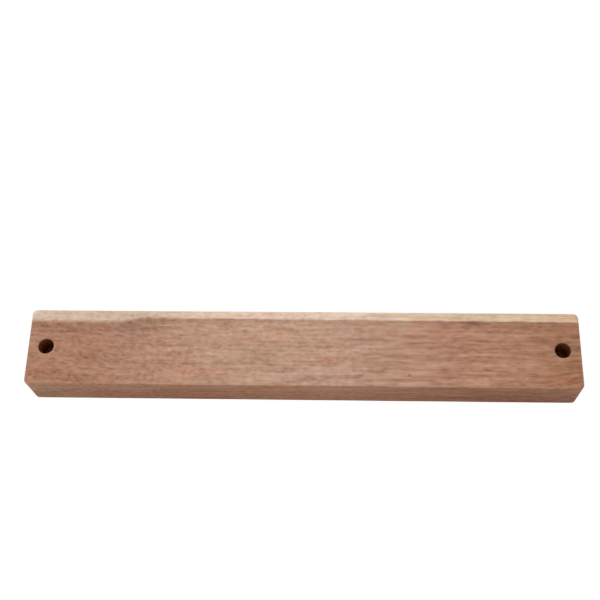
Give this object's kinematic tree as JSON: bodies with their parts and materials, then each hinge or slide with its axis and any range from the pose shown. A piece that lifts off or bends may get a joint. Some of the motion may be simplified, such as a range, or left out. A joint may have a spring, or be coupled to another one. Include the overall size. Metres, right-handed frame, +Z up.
{
  "type": "magnetic knife bar",
  "caption": "Wooden wall bar with eased edges and a counterbored screw hole near each end, holding blades by hidden magnets behind its face.",
  "frame": {"origin": "centre of the back face, on the wall's plane", "axes": "+X along the bar to the right as seen from the front, +Y into the wall, +Z up"},
  "size_m": [0.35, 0.03, 0.05],
  "materials": {
    "oiled_hardwood": "oiled hardwood with a satin sheen, brown heartwood under a band of pale sapwood",
    "nickel_plating": "bright nickel plating on sintered magnet blocks",
    "yoke_steel": "bare cold-rolled steel strip",
    "softwood": "planed softwood, unfinished",
    "plywood": "sanded birch plywood, thinly sealed",
    "zinc_plated_steel": "zinc plated screw"
  },
  "bodies": {
    "root": {"hardwood_bar": "oiled_hardwood", "magnet_upper_01": "nickel_plating", "magnet_upper_02": "nickel_plating", "magnet_upper_03": "nickel_plating", "magnet_upper_04": "nickel_plating", "magnet_upper_05": "nickel_plating", "magnet_upper_06": "nickel_plating", "magnet_upper_07": "nickel_plating", "magnet_upper_08": "nickel_plating", "magnet_upper_09": "nickel_plating", "magnet_upper_10": "nickel_plating", "magnet_upper_11": "nickel_plating", "magnet_lower_01": "nickel_plating", "magnet_lower_02": "nickel_plating", "magnet_lower_03": "nickel_plating", "magnet_lower_04": "nickel_plating", "magnet_lower_05": "nickel_plating", "magnet_lower_06": "nickel_plating", "magnet_lower_07": "nickel_plating", "magnet_lower_08": "nickel_plating", "magnet_lower_09": "nickel_plating", "magnet_lower_10": "nickel_plating", "magnet_lower_11": "nickel_plating", "steel_yoke": "yoke_steel", "packing_strip": "softwood", "back_panel": "plywood", "panel_screw_upper_1": "zinc_plated_steel", "panel_screw_upper_2": "zinc_plated_steel", "panel_screw_upper_3": "zinc_plated_steel", "panel_screw_lower_1": "zinc_plated_steel", "panel_screw_lower_2": "zinc_plated_steel", "panel_screw_lower_3": "zinc_plated_steel"}
  },
  "joints": []
}
